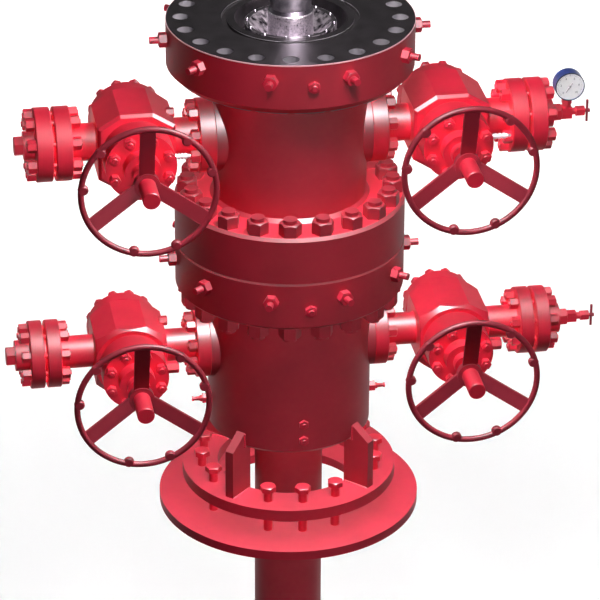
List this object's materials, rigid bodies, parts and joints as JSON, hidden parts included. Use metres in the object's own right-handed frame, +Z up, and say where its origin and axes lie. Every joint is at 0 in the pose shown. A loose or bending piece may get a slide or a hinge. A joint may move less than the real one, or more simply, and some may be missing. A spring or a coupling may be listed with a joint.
{
  "type": "oil wellhead valve stack",
  "caption": "Surface wellhead of a casing head and casing spool with side gate valves, handwheels, needle valves and a gauge, on a bolted landing base.",
  "frame": {"origin": "centre of the surface casing's lower end, on the well's axis", "axes": "+Z up the well's axis, +X along the side outlets to the right as seen from the handwheels, -Y towards the handwheels"},
  "size_m": [1.911, 0.88, 2.271],
  "materials": {
    "red_paint": "gloss",
    "dark_red_paint": "satin",
    "steel": "machined",
    "gauge_blue": "gloss",
    "dial_white": "matte"
  },
  "bodies": {
    "wellhead": {"surface_casing": "dark_red_paint", "base_plate": "red_paint", "landing_ring": "red_paint", "levelling_bolts": "red_paint", "landing_gussets": "red_paint", "casing_head": "red_paint", "casing_spool": "red_paint", "ring_gasket": "steel", "middle_studs": "red_paint", "head_lockdown_screws": "red_paint", "spool_lockdown_screws": "red_paint", "casing_hanger": "steel", "inner_casing": "steel", "casing_coupling": "steel", "rear_covers": "red_paint", "upper_left_valve_body": "red_paint", "upper_left_bonnet": "red_paint", "upper_left_end_flange": "red_paint", "upper_right_valve_body": "red_paint", "upper_right_bonnet": "red_paint", "upper_right_end_flange": "red_paint", "lower_left_valve_body": "red_paint", "lower_left_bonnet": "red_paint", "lower_left_end_flange": "red_paint", "lower_right_valve_body": "red_paint", "lower_right_bonnet": "red_paint", "lower_right_end_flange": "red_paint", "upper_left_plug": "red_paint", "lower_left_plug": "red_paint", "upper_needle_valve": "red_paint", "lower_needle_valve": "red_paint", "gauge_case": "gauge_blue", "gauge_dial": "dial_white"},
    "upper_left_wheel": {"upper_left_handwheel": "red_paint", "upper_left_stem_cap": "red_paint"},
    "upper_right_wheel": {"upper_right_handwheel": "red_paint", "upper_right_stem_cap": "red_paint"},
    "lower_left_wheel": {"lower_left_handwheel": "red_paint", "lower_left_stem_cap": "red_paint"},
    "lower_right_wheel": {"lower_right_handwheel": "red_paint", "lower_right_stem_cap": "red_paint"},
    "upper_handle": {"upper_needle_handle": "red_paint"},
    "lower_handle": {"lower_needle_handle": "red_paint"}
  },
  "joints": [
    {"name": "upper_left_wheel_turn", "type": "hinge", "parent": "wellhead", "child": "upper_left_wheel", "pos_m": [-0.492, -0.392, 1.729], "axis": [0, -1, 0], "continuous": true},
    {"name": "upper_right_wheel_turn", "type": "hinge", "parent": "wellhead", "child": "upper_right_wheel", "pos_m": [0.492, -0.392, 1.729], "axis": [0, -1, 0], "continuous": true},
    {"name": "lower_left_wheel_turn", "type": "hinge", "parent": "wellhead", "child": "lower_left_wheel", "pos_m": [-0.519, -0.392, 1.002], "axis": [0, -1, 0], "continuous": true},
    {"name": "lower_right_wheel_turn", "type": "hinge", "parent": "wellhead", "child": "lower_right_wheel", "pos_m": [0.519, -0.392, 1.002], "axis": [0, -1, 0], "continuous": true},
    {"name": "upper_handle_turn", "type": "hinge", "parent": "wellhead", "child": "upper_handle", "pos_m": [0.939, 0, 1.729], "axis": [1, 0, 0], "continuous": true},
    {"name": "lower_handle_turn", "type": "hinge", "parent": "wellhead", "child": "lower_handle", "pos_m": [0.984, 0, 1.002], "axis": [1, 0, 0], "continuous": true}
  ]
}
